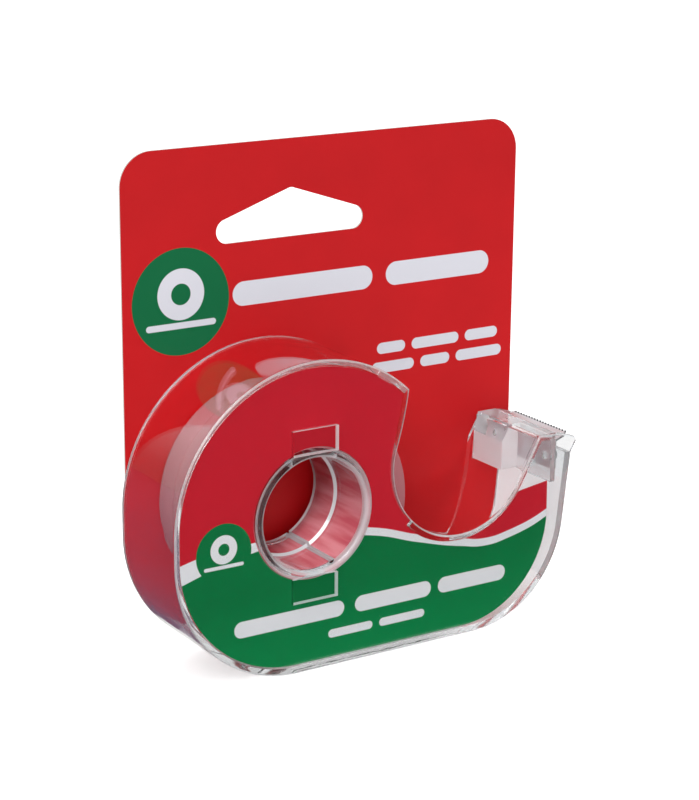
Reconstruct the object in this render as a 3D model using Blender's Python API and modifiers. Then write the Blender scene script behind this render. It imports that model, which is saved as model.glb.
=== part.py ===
"""Pocket tape dispenser on its hang card, as separate solids.

A clear one-piece moulding, open at the back, holds a roll of 19 mm tape on a hub.  A printed
label lies behind its front wall, a steel cutter is staked to the head of its arm, and a hang
card closes the back.

Frame: metres, +X along the card, +Y from the front wall towards the card, +Z up.  The origin is
at the middle of the bottom of the whole object, on the flat base.  Side outlines are worked out
as (u, w) pairs, which are X and Z measured from the hub's axis, and depths are measured from the
front face.
"""

import math

import bmesh
import bpy
from mathutils import Matrix, Vector

MM = 0.001

# Tape and core: 19 mm tape on a 25.4 mm core.
TAPE_WIDTH = 19.0 * MM
CORE_BORE_RADIUS = 12.7 * MM
CORE_WALL = 1.5 * MM
ROLL_RADIUS = 21.7 * MM

# Gap kept between pieces that touch.
TOUCH_GAP = 0.3 * MM

# Sheets and walls.
WALL = 1.2 * MM
LABEL_THICKNESS = 0.3 * MM
LABEL_GAP = 0.2 * MM
CARD_THICKNESS = 0.45 * MM
SHELL_DEPTH = 21.3 * MM
TOTAL_DEPTH = SHELL_DEPTH + TOUCH_GAP + CARD_THICKNESS

# Side outline of the shell, about the hub's axis.
RIM_RADIUS = 30.3 * MM
RIM_END_ANGLE = math.radians(46.0)
BASE_W = -31.4 * MM
HEEL_RADIUS = 26.5 * MM
HEEL_CENTRE = (-RIM_RADIUS + HEEL_RADIUS, BASE_W + HEEL_RADIUS)
TOE_RADIUS = 22.0 * MM
TOE_CENTRE = (37.5 * MM, BASE_W + TOE_RADIUS)
TOE_END_ANGLE = math.radians(-6.0)
ARM_WALL_TOP = (61.0 * MM, 2.8 * MM)
HEAD_TOP_W = 7.3 * MM
HEAD_INNER_U = 52.8 * MM
EAR = ((62.3 * MM, 5.0 * MM), (61.9 * MM, 6.0 * MM), (58.5 * MM, 7.1 * MM))
GAP_CENTRE = (33.9 * MM, 6.1 * MM)
GAP_RADIUS = 16.1 * MM
GAP_START_ANGLE = math.radians(169.0)
GAP_WALL_START_ANGLE = math.radians(226.0)
GAP_END_ANGLE = math.radians(330.0)
GAP_LIP = 1.0 * MM
GAP_SLANT_U = (31.9 * MM, 50.5 * MM)
EXIT_EDGE_BOW = 70.0 * MM

# Hub tube with two spring fingers, and the tool windows that form the fingers.
HUB_OUTER_RADIUS = 12.2 * MM
HUB_BORE_RADIUS = 11.3 * MM
HUB_STEP_RADIUS = 10.8 * MM
HUB_STEP_DEPTH = 11.0 * MM
HUB_END_DEPTH = 18.5 * MM
FINGER_HALF_WIDTH = 4.6 * MM
FINGER_SLIT = 0.5 * MM
FINGER_ROOT_DEPTH = 1.5 * MM
FINGER_BUMP_RADIUS = 12.4 * MM
FINGER_BUMP_LENGTH = 1.6 * MM
WINDOW_HALF_WIDTH = 5.0 * MM
WINDOW_OUTER_W = 17.2 * MM

# Head of the arm: landing for the tape, web that carries the cutter, solid rear block.
LANDING_THICKNESS = 1.2 * MM
WEB_INNER_U = 56.2 * MM
WEB_OUTER_U = 57.4 * MM
WEB_BOTTOM_W = -3.0 * MM
BLOCK_INNER_U = 52.2 * MM
BLOCK_FRONT_DEPTH = 11.0 * MM

# Cutter strip and the two posts that hold it.
CUTTER_THICKNESS = 0.4 * MM
CUTTER_FRONT_DEPTH = 1.9 * MM
CUTTER_REAR_DEPTH = 19.6 * MM
CUTTER_FLANGE_BOTTOM_W = -0.6 * MM
CUTTER_BEND_W = 5.5 * MM
CUTTER_TIP = (61.3 * MM, 6.6 * MM)
CUTTER_TEETH = 19
CUTTER_TOOTH_HEIGHT = 0.7 * MM
CUTTER_TOOTH_FLAT = 0.05
POST_RADIUS = 0.8 * MM
POST_HEAD_RADIUS = 1.5 * MM
POST_HEAD_HEIGHT = 0.6 * MM
POST_DEPTHS = (4.0 * MM, 17.2 * MM)
POST_W = 1.9 * MM

# Label behind the front wall, with a strip folded back along the base.
LABEL_EDGE = 0.3 * MM
LABEL_HOLE_RADIUS = 13.2 * MM
LABEL_ARM_CORNER = (55.7 * MM, -2.7 * MM)
LABEL_ARM_ANGLE = math.radians(326.0)
LABEL_TOE_RADIUS = 20.6 * MM
LABEL_TOE_CENTRE = (35.2 * MM, -9.3 * MM)
LABEL_TOE_END_ANGLE = math.radians(3.0)
LABEL_STRIP_U = (-2.0 * MM, 36.0 * MM)
LABEL_GAP_LEAD = math.radians(2.0)
STRIP_SET_IN = 0.02 * MM

# Hang card.
CARD_LEFT_U = -29.2 * MM
CARD_RIGHT_U = 61.0 * MM
CARD_TOP_W = 68.4 * MM
CARD_CORNER = 6.5 * MM
CARD_INSET = 0.8 * MM
CARD_ARM_W = 5.0 * MM
HANG_HOLE_BOTTOM_W = 49.3 * MM
HANG_HOLE_CENTRE_U = 7.4 * MM
HANG_HOLE_HALF_WIDTH = 16.5 * MM
HANG_HOLE_END_RADIUS = 2.4 * MM
HANG_HOLE_APEX_RADIUS = 1.6 * MM
HANG_HOLE_HEIGHT = 9.6 * MM
HANG_HOLE_ROOF_LEAN = math.radians(2.0)

# Where the hub's axis and the front face lie in the part's frame.
HUB_X = -(EAR[0][0] - RIM_RADIUS) / 2.0
HUB_Z = -BASE_W
FRONT_Y = -TOTAL_DEPTH / 2.0

ARC_STEP = math.radians(5.0)
ROUND_SEGMENTS = 64
SMALL_ROUND_SEGMENTS = 20
OVERLAP = 0.4 * MM
SET_BACK = 0.1 * MM
CUT_MARGIN = 2.0 * MM
WELD_DISTANCE = 0.001 * MM
SCREW_MERGE_DISTANCE = 0.01 * MM
SMOOTH_ANGLE = math.radians(30.0)

# Depths of the roll, centred between the label and the card, and where the finger slots start.
ROLL_FRONT_DEPTH = (SHELL_DEPTH + WALL + LABEL_GAP + LABEL_THICKNESS - TAPE_WIDTH) / 2.0
SLOT_INNER_W = HUB_STEP_RADIUS / 2.0


def clear_scene():
    """Remove every object that the file opened with."""
    for item in list(bpy.data.objects):
        bpy.data.objects.remove(item, do_unlink=True)


def new_collection(name):
    """Make a collection and link it to the scene."""
    collection = bpy.data.collections.new(name)
    bpy.context.scene.collection.children.link(collection)
    return collection


def material(name, colour, roughness, metallic=0.0, transmission=0.0):
    """Make a plain Principled material."""
    made = bpy.data.materials.new(name)
    made.use_nodes = True
    shader = made.node_tree.nodes["Principled BSDF"]
    shader.inputs["Base Color"].default_value = (*colour, 1.0)
    shader.inputs["Roughness"].default_value = roughness
    shader.inputs["Metallic"].default_value = metallic
    shader.inputs["Transmission Weight"].default_value = transmission
    return made


def arc(centre, radius, start, end):
    """Points of an arc in (u, w), from the start angle to the end angle."""
    steps = max(2, math.ceil(abs(end - start) / ARC_STEP))
    angles = [start + (end - start) * i / steps for i in range(steps + 1)]
    return [(centre[0] + radius * math.cos(a), centre[1] + radius * math.sin(a)) for a in angles]


def bowed(start, end, radius):
    """Inner points of a shallow arc from start to end that bulges to the right of its way."""
    chord = Vector(end) - Vector(start)
    rise = radius - math.sqrt(radius ** 2 - (chord.length / 2.0) ** 2)
    side = Vector((chord.y, -chord.x)).normalized()
    points = []
    for t in (0.25, 0.5, 0.75):
        points.append(tuple(Vector(start) + chord * t + side * rise * 4.0 * t * (1.0 - t)))
    return points


def rim_run(inset):
    """Outer wall of the shell, from the tape's exit round the base to the top of the arm."""
    arm_top = (ARM_WALL_TOP[0] - inset * math.cos(TOE_END_ANGLE), ARM_WALL_TOP[1])
    return (
        arc((0.0, 0.0), RIM_RADIUS - inset, RIM_END_ANGLE, math.pi)
        + arc(HEEL_CENTRE, HEEL_RADIUS - inset, math.pi, 1.5 * math.pi)
        + arc(TOE_CENTRE, TOE_RADIUS - inset, -0.5 * math.pi, TOE_END_ANGLE)
        + [arm_top]
    )


def gap_run(outset, start=GAP_WALL_START_ANGLE):
    """Edge of the finger gap, from a start angle down, across and up to the head."""
    curve = arc(GAP_CENTRE, GAP_RADIUS + outset, start, GAP_END_ANGLE)
    slant = math.tan(2.0 * math.pi - GAP_END_ANGLE)
    top = (curve[-1][0] + (HEAD_TOP_W - curve[-1][1]) * slant, HEAD_TOP_W)
    return curve + [top]


def mesh_object(name, mesh, collection, matrix):
    """Link a mesh as a new object, in its place."""
    item = bpy.data.objects.new(name, mesh)
    item.matrix_world = matrix
    collection.objects.link(item)
    return item


def plate(name, outlines, front, rear, collection):
    """Solid plate with side outlines in (u, w) and faces at two depths; later outlines are holes."""
    place = Matrix.Translation((HUB_X, FRONT_Y + (front + rear) / 2.0, HUB_Z))
    upright = place @ Matrix.Rotation(math.pi / 2.0, 4, "X")
    return extruded(name, outlines, rear - front, upright, collection)


def extruded(name, outlines, thickness, matrix, collection):
    """Flat outlines given a thickness as a filled curve, then made a mesh with its caps welded."""
    curve = bpy.data.curves.new(name, "CURVE")
    curve.dimensions = "2D"
    curve.fill_mode = "BOTH"
    curve.extrude = thickness / 2.0
    for outline in outlines:
        spline = curve.splines.new("POLY")
        spline.points.add(len(outline) - 1)
        for point, (across, up) in zip(spline.points, outline):
            point.co = (across, up, 0.0, 1.0)
        spline.use_cyclic_u = True
    guide = bpy.data.objects.new(name + "_curve", curve)
    guide.matrix_world = matrix
    bpy.context.scene.collection.objects.link(guide)
    bpy.context.view_layer.update()
    graph = bpy.context.evaluated_depsgraph_get()
    mesh = bpy.data.meshes.new_from_object(guide.evaluated_get(graph))
    form = bmesh.new()
    form.from_mesh(mesh)
    bmesh.ops.remove_doubles(form, verts=form.verts, dist=WELD_DISTANCE)
    form.to_mesh(mesh)
    form.free()
    item = mesh_object(name, mesh, collection, guide.matrix_world.copy())
    bpy.data.objects.remove(guide, do_unlink=True)
    return item


def box(name, u_range, depth_range, w_range, collection):
    """Box between two u values, two depths and two w values."""
    form = bmesh.new()
    bmesh.ops.create_cube(form, size=1.0)
    size = [high - low for low, high in (u_range, depth_range, w_range)]
    centre = [(low + high) / 2.0 for low, high in (u_range, depth_range, w_range)]
    bmesh.ops.scale(form, verts=form.verts, vec=size)
    mesh = bpy.data.meshes.new(name)
    form.to_mesh(mesh)
    form.free()
    place = (HUB_X + centre[0], FRONT_Y + centre[1], HUB_Z + centre[2])
    return mesh_object(name, mesh, collection, Matrix.Translation(place))


def turned(name, profile, collection):
    """Ring about the hub's axis, from a closed profile of (radius, depth) pairs."""
    mesh = bpy.data.meshes.new(name)
    edges = [(i, (i + 1) % len(profile)) for i in range(len(profile))]
    mesh.from_pydata([(radius, 0.0, -depth) for radius, depth in profile], edges, [])
    lathe = Matrix.Translation((HUB_X, FRONT_Y, HUB_Z)) @ Matrix.Rotation(math.pi / 2.0, 4, "X")
    item = mesh_object(name, mesh, collection, lathe)
    screw = item.modifiers.new("turn", "SCREW")
    screw.steps = ROUND_SEGMENTS
    screw.render_steps = ROUND_SEGMENTS
    screw.use_merge_vertices = True
    screw.merge_threshold = SCREW_MERGE_DISTANCE
    return item


def ring_profile(inner, outer, front, rear):
    """Square profile of a plain ring, running down its outer side."""
    return [(outer, front), (outer, rear), (inner, rear), (inner, front)]


def rod(name, radius, u_range, depth, w, collection):
    """Cylinder along X."""
    form = bmesh.new()
    bmesh.ops.create_cone(
        form, cap_ends=True, segments=SMALL_ROUND_SEGMENTS,
        radius1=radius, radius2=radius, depth=u_range[1] - u_range[0],
    )
    mesh = bpy.data.meshes.new(name)
    form.to_mesh(mesh)
    form.free()
    place = (HUB_X + (u_range[0] + u_range[1]) / 2.0, FRONT_Y + depth, HUB_Z + w)
    turn = Matrix.Rotation(math.pi / 2.0, 4, "Y")
    return mesh_object(name, mesh, collection, Matrix.Translation(place) @ turn)


def boolean(item, other, operation):
    """Add a Boolean modifier; the other object becomes a hidden guide."""
    modifier = item.modifiers.new(other.name, "BOOLEAN")
    modifier.operation = operation
    modifier.solver = "EXACT"
    modifier.object = other
    other.hide_render = True
    other.display_type = "WIRE"


def finish(item, look):
    """Give a finished piece its material and smooth its round faces."""
    item.data.materials.clear()
    item.data.materials.append(look)
    item.data.shade_smooth()
    item.data.set_sharp_from_angle(angle=SMOOTH_ANGLE)


def front_wall_outline():
    """Closed outline of the front wall: rim, ear, head, finger gap and the edge at the exit."""
    rim = rim_run(0.0)
    gap = gap_run(0.0, GAP_START_ANGLE)
    ear_and_head = list(EAR) + [(HEAD_INNER_U, HEAD_TOP_W)]
    gap_back = list(reversed(gap[:-1]))
    return rim + ear_and_head + gap_back + bowed(gap[0], rim[0], EXIT_EDGE_BOW)


def wall_outline(run, thickness):
    """Closed outline of a wall that follows a run."""
    return run(0.0) + list(reversed(run(thickness)))


def hub_tube_profile():
    """Hub tube with a small step in its bore."""
    return [
        (HUB_OUTER_RADIUS, WALL - OVERLAP),
        (HUB_OUTER_RADIUS, HUB_END_DEPTH),
        (HUB_STEP_RADIUS, HUB_END_DEPTH),
        (HUB_STEP_RADIUS, HUB_STEP_DEPTH),
        (HUB_BORE_RADIUS, HUB_STEP_DEPTH - (HUB_BORE_RADIUS - HUB_STEP_RADIUS)),
        (HUB_BORE_RADIUS, WALL - OVERLAP),
    ]


def rear_ear_outline():
    """Plate at the back of the head, with the second ear."""
    block_bottom = (BLOCK_INNER_U, WEB_BOTTOM_W)
    arm_side = (ARM_WALL_TOP[0] - OVERLAP - WALL / 2.0, WEB_BOTTOM_W)
    return [block_bottom, arm_side, ARM_WALL_TOP, *EAR, (HEAD_INNER_U, HEAD_TOP_W)]


def make_shell(parts, cutters, look):
    """Clear moulding: front wall, outer wall, finger gap, hub, head of the arm."""
    wall = plate("dispenser_shell", [front_wall_outline()], 0.0, WALL, parts)
    inner = WALL - OVERLAP
    joined = [
        plate("rim_form", [wall_outline(rim_run, WALL)], inner, SHELL_DEPTH, cutters),
        gap_form(inner, cutters),
        turned("hub_form", hub_tube_profile(), cutters),
        landing_form(inner, cutters),
        box("web_form", (WEB_INNER_U, WEB_OUTER_U), (inner, SHELL_DEPTH - OVERLAP),
            (WEB_BOTTOM_W, HEAD_TOP_W - OVERLAP), cutters),
        box("block_form", (BLOCK_INNER_U, WEB_OUTER_U - SET_BACK),
            (BLOCK_FRONT_DEPTH, SHELL_DEPTH - OVERLAP),
            (WEB_BOTTOM_W + SET_BACK, HEAD_TOP_W - OVERLAP), cutters),
        plate("rear_ear_form", [rear_ear_outline()], SHELL_DEPTH - WALL, SHELL_DEPTH, cutters),
    ]
    for form in joined:
        boolean(wall, form, "UNION")
    for number, depth in enumerate(POST_DEPTHS, start=1):
        boolean(wall, post_form(number, depth, cutters), "UNION")
    cut_hub(wall, cutters)
    finish(wall, look)


def gap_form(front, collection):
    """Wall of the finger gap: a low lip, whose free edge then slants back to the head's rear."""
    wall = plate("gap_form", [wall_outline(gap_run, WALL)], front, SHELL_DEPTH, collection)
    lip = WALL + GAP_LIP
    beyond = SHELL_DEPTH + CUT_MARGIN
    slant = (GAP_SLANT_U[1] - GAP_SLANT_U[0]) / (SHELL_DEPTH - lip)
    outline = [(0.0, lip), (GAP_SLANT_U[0], lip),
               (GAP_SLANT_U[0] + (beyond - lip) * slant, beyond), (0.0, beyond)]
    place = Matrix.Translation((HUB_X, FRONT_Y, HUB_Z + GAP_CENTRE[1]))
    height = 2.0 * (GAP_RADIUS + WALL + CUT_MARGIN)
    boolean(wall, extruded("gap_slant_cut", [outline], height, place, collection), "DIFFERENCE")
    return wall


def landing_form(front, collection):
    """Flat top of the head, which the tape lies on."""
    low = HEAD_TOP_W - LANDING_THICKNESS
    inner_low = HEAD_INNER_U - LANDING_THICKNESS * math.tan(2.0 * math.pi - GAP_END_ANGLE)
    outline = [
        (inner_low + OVERLAP, low),
        (WEB_OUTER_U, low),
        (WEB_OUTER_U, HEAD_TOP_W),
        (HEAD_INNER_U + OVERLAP / 2.0, HEAD_TOP_W),
    ]
    return plate("landing_form", [outline], front, SHELL_DEPTH, collection)


def post_form(number, depth, collection):
    """Staked post with its flattened head, standing on the web."""
    head_u = WEB_OUTER_U + 2.0 * TOUCH_GAP + CUTTER_THICKNESS
    name = "post_form_{}".format(number)
    post = rod(name, POST_RADIUS, (WEB_INNER_U + OVERLAP, head_u + OVERLAP), depth, POST_W,
               collection)
    head = rod(name + "_head", POST_HEAD_RADIUS, (head_u, head_u + POST_HEAD_HEIGHT), depth,
               POST_W, collection)
    boolean(post, head, "UNION")
    return post


def cut_hub(shell, cutters):
    """Open the bore, the two tool windows and the two slots that free the fingers."""
    bore = turned(
        "bore_cut", [(HUB_BORE_RADIUS, -CUT_MARGIN), (HUB_BORE_RADIUS, WALL + OVERLAP),
                     (0.0, WALL + OVERLAP), (0.0, -CUT_MARGIN)], cutters)
    boolean(shell, bore, "DIFFERENCE")
    slot_half = FINGER_HALF_WIDTH + FINGER_SLIT
    for side, name in ((1.0, "upper"), (-1.0, "lower")):
        slot_w = sorted((side * SLOT_INNER_W, side * (HUB_OUTER_RADIUS + CUT_MARGIN)))
        slot = box(name + "_slot_cut", (-slot_half, slot_half),
                   (FINGER_ROOT_DEPTH, HUB_END_DEPTH + CUT_MARGIN), slot_w, cutters)
        boolean(shell, slot, "DIFFERENCE")
        window_w = sorted((side * HUB_OUTER_RADIUS, side * WINDOW_OUTER_W))
        window = box(name + "_window_cut", (-WINDOW_HALF_WIDTH, WINDOW_HALF_WIDTH),
                     (-CUT_MARGIN, WALL + SET_BACK), window_w, cutters)
        boolean(shell, window, "DIFFERENCE")


def make_finger(name, side, parts, cutters, look):
    """Spring finger that presses on the core; its origin is at its root."""
    root = FINGER_ROOT_DEPTH + TOUCH_GAP
    bump_start = HUB_END_DEPTH - FINGER_BUMP_LENGTH
    finger = turned(name, [
        (HUB_OUTER_RADIUS, root),
        (HUB_OUTER_RADIUS, bump_start),
        (FINGER_BUMP_RADIUS, bump_start + FINGER_BUMP_LENGTH / 2.0),
        (FINGER_BUMP_RADIUS, HUB_END_DEPTH),
        (HUB_STEP_RADIUS, HUB_END_DEPTH),
        (HUB_STEP_RADIUS, HUB_STEP_DEPTH),
        (HUB_BORE_RADIUS, HUB_STEP_DEPTH - (HUB_BORE_RADIUS - HUB_STEP_RADIUS)),
        (HUB_BORE_RADIUS, root),
    ], parts)
    reach = sorted((side * SLOT_INNER_W, side * (FINGER_BUMP_RADIUS + CUT_MARGIN)))
    keep = box(name + "_keep", (-FINGER_HALF_WIDTH, FINGER_HALF_WIDTH),
               (0.0, SHELL_DEPTH), reach, cutters)
    boolean(finger, keep, "INTERSECT")
    finish(finger, look)
    root_w = side * (HUB_OUTER_RADIUS + HUB_BORE_RADIUS) / 2.0
    pin_origin(finger, (HUB_X, FRONT_Y + root, HUB_Z + root_w))


def pin_origin(item, point):
    """Bake the modifiers in and put the origin on a point, leaving the shape where it is."""
    bpy.context.view_layer.update()
    graph = bpy.context.evaluated_depsgraph_get()
    mesh = bpy.data.meshes.new_from_object(item.evaluated_get(graph))
    mesh.transform(item.matrix_world)
    mesh.transform(Matrix.Translation(-Vector(point)))
    item.modifiers.clear()
    item.data = mesh
    item.matrix_world = Matrix.Translation(point)


def make_cutter(parts, cutters, look):
    """Steel strip: an upright flange with two holes and a leaf that ends in teeth."""
    inner = WEB_OUTER_U + TOUCH_GAP
    outer = inner + CUTTER_THICKNESS
    flange = box("cutter_blade", (inner, outer), (CUTTER_FRONT_DEPTH, CUTTER_REAR_DEPTH),
                 (CUTTER_FLANGE_BOTTOM_W, CUTTER_BEND_W), parts)
    boolean(flange, leaf_form(inner, cutters), "UNION")
    for number, depth in enumerate(POST_DEPTHS, start=1):
        hole = rod("cutter_hole_{}".format(number), POST_RADIUS + TOUCH_GAP,
                   (inner - CUT_MARGIN, outer + CUT_MARGIN), depth, POST_W, cutters)
        boolean(flange, hole, "DIFFERENCE")
    finish(flange, look)


def leaf_form(inner, collection):
    """Toothed leaf of the cutter, leaning out from the top of the flange."""
    start = (inner + CUTTER_THICKNESS / 2.0, CUTTER_BEND_W - CUTTER_THICKNESS / 2.0)
    reach = math.hypot(CUTTER_TIP[0] - start[0], CUTTER_TIP[1] - start[1])
    slope = math.atan2(CUTTER_TIP[1] - start[1], CUTTER_TIP[0] - start[0])
    length = CUTTER_REAR_DEPTH - CUTTER_FRONT_DEPTH
    pitch = length / CUTTER_TEETH
    root = reach - CUTTER_TOOTH_HEIGHT
    outline = [(0.0, 0.0)]
    for tooth in range(CUTTER_TEETH):
        outline.append((root, (tooth + CUTTER_TOOTH_FLAT) * pitch))
        outline.append((reach, (tooth + 0.5) * pitch))
        outline.append((root, (tooth + 1.0 - CUTTER_TOOTH_FLAT) * pitch))
    outline.append((0.0, length))
    place = Matrix.Translation((HUB_X + start[0], FRONT_Y + CUTTER_FRONT_DEPTH, HUB_Z + start[1]))
    sloping = place @ Matrix.Rotation(-slope, 4, "Y")
    return extruded("leaf_form", [outline], CUTTER_THICKNESS, sloping, collection)


def make_core(parts, look):
    """Tape core, which turns on the hub."""
    core = turned("tape_core", ring_profile(
        CORE_BORE_RADIUS, CORE_BORE_RADIUS + CORE_WALL,
        ROLL_FRONT_DEPTH, ROLL_FRONT_DEPTH + TAPE_WIDTH), parts)
    finish(core, look)


def make_roll(parts, look):
    """Wound tape on the core."""
    inner = CORE_BORE_RADIUS + CORE_WALL + TOUCH_GAP
    roll = turned("tape_roll", ring_profile(
        inner, ROLL_RADIUS, ROLL_FRONT_DEPTH, ROLL_FRONT_DEPTH + TAPE_WIDTH), parts)
    finish(roll, look)


def label_outline():
    """Outline of the printed label, just inside the shell's walls."""
    edge = WALL + LABEL_EDGE
    wall_start = GAP_WALL_START_ANGLE - LABEL_GAP_LEAD
    beside_roll = arc(GAP_CENTRE, GAP_RADIUS + LABEL_EDGE, GAP_START_ANGLE, wall_start)
    beside_wall = arc(GAP_CENTRE, GAP_RADIUS + edge, wall_start, LABEL_ARM_ANGLE)
    return (
        arc((0.0, 0.0), RIM_RADIUS - edge, RIM_END_ANGLE, math.pi)
        + arc(HEEL_CENTRE, HEEL_RADIUS - edge, math.pi, 1.5 * math.pi)
        + arc(LABEL_TOE_CENTRE, LABEL_TOE_RADIUS, -0.5 * math.pi, LABEL_TOE_END_ANGLE)
        + [LABEL_ARM_CORNER]
        + list(reversed(beside_roll + beside_wall))
    )


def make_label(parts, cutters, look):
    """Printed label with a hole for the hub and a strip folded back along the base."""
    front = WALL + LABEL_GAP
    rear = front + LABEL_THICKNESS
    hole = list(reversed(arc((0.0, 0.0), LABEL_HOLE_RADIUS, 0.0, 2.0 * math.pi)[:-1]))
    label = plate("front_label", [label_outline(), hole], front, rear, parts)
    strip_low = BASE_W + WALL + LABEL_EDGE
    strip = box("label_strip_form", LABEL_STRIP_U, (rear - LABEL_THICKNESS / 2.0, SHELL_DEPTH),
                (strip_low + STRIP_SET_IN, strip_low + LABEL_THICKNESS), cutters)
    boolean(label, strip, "UNION")
    finish(label, look)


def card_outline():
    """Outline of the hang card: square top with round corners, lower edge like the shell's."""
    left = CARD_LEFT_U + CARD_CORNER
    right = CARD_RIGHT_U - CARD_CORNER
    top = CARD_TOP_W - CARD_CORNER
    heel_radius = HEEL_RADIUS - CARD_INSET
    heel_centre = (CARD_LEFT_U + heel_radius, BASE_W + CARD_INSET + heel_radius)
    return (
        arc((right, top), CARD_CORNER, 0.0, math.pi / 2.0)
        + arc((left, top), CARD_CORNER, math.pi / 2.0, math.pi)
        + arc(heel_centre, heel_radius, math.pi, 1.5 * math.pi)
        + arc(TOE_CENTRE, TOE_RADIUS - CARD_INSET, -0.5 * math.pi, TOE_END_ANGLE)
        + [(CARD_RIGHT_U, CARD_ARM_W)]
    )


def hang_hole_outline():
    """Roof-shaped hang hole with round ends."""
    bottom = HANG_HOLE_BOTTOM_W + HANG_HOLE_END_RADIUS
    end = HANG_HOLE_HALF_WIDTH - HANG_HOLE_END_RADIUS
    apex = HANG_HOLE_BOTTOM_W + HANG_HOLE_HEIGHT - HANG_HOLE_APEX_RADIUS
    roof = math.atan2(apex - bottom, end) + HANG_HOLE_ROOF_LEAN
    up = math.pi / 2.0
    return (
        arc((HANG_HOLE_CENTRE_U + end, bottom), HANG_HOLE_END_RADIUS, -up, up - roof)
        + arc((HANG_HOLE_CENTRE_U, apex), HANG_HOLE_APEX_RADIUS, up - roof, up + roof)
        + arc((HANG_HOLE_CENTRE_U - end, bottom), HANG_HOLE_END_RADIUS, up + roof, 3.0 * up)
    )


def make_card(parts, look):
    """Hang card behind the shell; its origin is on the fold along its bottom edge."""
    front = SHELL_DEPTH + TOUCH_GAP
    card = plate("hang_card", [card_outline(), hang_hole_outline()[::-1]], front,
                 front + CARD_THICKNESS, parts)
    finish(card, look)
    pin_origin(card, (HUB_X, FRONT_Y + TOTAL_DEPTH, HUB_Z + BASE_W + CARD_INSET))


def build():
    """Model every piece."""
    clear_scene()
    parts = new_collection("tape_dispenser")
    cutters = new_collection("cutters")
    clear_plastic = material("clear_plastic", (0.93, 0.93, 0.94), 0.05, transmission=1.0)
    steel = material("cutter_steel", (0.72, 0.72, 0.74), 0.25, metallic=1.0)
    core_board = material("core_board", (0.50, 0.28, 0.28), 0.6)
    clear_tape = material("clear_tape", (0.85, 0.80, 0.76), 0.12, transmission=0.6)
    label_print = material("label_print", (0.40, 0.02, 0.04), 0.4)
    card_print = material("card_print", (0.56, 0.01, 0.02), 0.4)
    make_shell(parts, cutters, clear_plastic)
    make_finger("hub_finger_upper", 1.0, parts, cutters, clear_plastic)
    make_finger("hub_finger_lower", -1.0, parts, cutters, clear_plastic)
    make_cutter(parts, cutters, steel)
    make_core(parts, core_board)
    make_roll(parts, clear_tape)
    make_label(parts, cutters, label_print)
    make_card(parts, card_print)


build()
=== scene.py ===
import math

import bpy
from mathutils import Matrix, Vector


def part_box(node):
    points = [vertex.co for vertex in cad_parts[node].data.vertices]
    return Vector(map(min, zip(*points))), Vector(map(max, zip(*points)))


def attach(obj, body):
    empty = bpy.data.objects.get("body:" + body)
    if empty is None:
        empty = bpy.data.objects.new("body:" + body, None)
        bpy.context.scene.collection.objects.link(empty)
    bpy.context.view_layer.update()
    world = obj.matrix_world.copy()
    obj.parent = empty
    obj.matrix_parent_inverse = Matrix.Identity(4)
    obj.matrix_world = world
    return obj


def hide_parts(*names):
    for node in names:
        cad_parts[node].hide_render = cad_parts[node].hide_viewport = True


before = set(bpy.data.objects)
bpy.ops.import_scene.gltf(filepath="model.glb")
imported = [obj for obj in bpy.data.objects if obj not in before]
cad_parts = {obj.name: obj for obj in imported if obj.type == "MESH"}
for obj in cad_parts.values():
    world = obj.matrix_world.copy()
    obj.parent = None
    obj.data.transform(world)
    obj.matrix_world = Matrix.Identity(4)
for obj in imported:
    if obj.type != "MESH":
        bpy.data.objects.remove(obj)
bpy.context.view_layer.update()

scene = bpy.context.scene


# ------------------------------------------------------------------ stage and camera
# A white table in a white tent, with one softbox.  Dark flags lie where the object's faces would
# mirror the table, so that printed board keeps its full colour; only mirrored light meets them.

class Socket:
    """A node's output.  Arithmetic on it adds Math nodes to its material."""

    def __init__(self, tree, output=None):
        self.tree = tree
        self.output = output

    def node(self, kind, settings=None, sockets=None, output=0):
        """Add a node, set it, feed its sockets, and give back one of its outputs."""
        made = self.tree.nodes.new("ShaderNode" + kind)
        for name, value in (settings or {}).items():
            if name == "stops":
                ramp = made.color_ramp.elements
                while len(ramp) < len(value):
                    ramp.new(1.0)
                for stop, (place, shade) in zip(ramp, value):
                    stop.position = place
                    stop.color = (*shade, 1.0)
            elif name == "points":
                curve = made.mapping.curves[0]
                while len(curve.points) < len(value):
                    curve.points.new(1.0, 1.0)
                for point, place in zip(curve.points, value):
                    point.location = place
                made.mapping.update()
            else:
                setattr(made, name, value)
        for name, value in (sockets or {}).items():
            if isinstance(value, Socket):
                self.tree.links.new(value.output, made.inputs[name])
            else:
                made.inputs[name].default_value = value
        return Socket(self.tree, made.outputs[output])

    def math(self, operation, *others, clamp=False):
        values = dict(enumerate((self, *others)))
        return self.node("Math", {"operation": operation, "use_clamp": clamp}, values)

    def __add__(self, other):
        return self.math("ADD", other)

    def __radd__(self, other):
        return self.math("ADD", other)

    def __sub__(self, other):
        return self.math("SUBTRACT", other)

    def __rsub__(self, other):
        return self.node("Math", {"operation": "SUBTRACT"}, {0: other, 1: self})

    def __mul__(self, other):
        return self.math("MULTIPLY", other)

    def __rmul__(self, other):
        return self.math("MULTIPLY", other)

    def __truediv__(self, other):
        return self.math("DIVIDE", other)


scene.view_settings.view_transform = "Standard"
scene.cycles.max_bounces = 40
scene.cycles.transmission_bounces = 40
scene.cycles.glossy_bounces = 24
scene.cycles.transparent_max_bounces = 32

TENT_GLOW = 0.66
BACKDROP_GLOW = 1.0
DARK_SIDE_GLOW = 0.15
TABLE_LIFT = 0.45
TABLE_LIFT_THROUGH_CLEAR = 0.18

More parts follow.
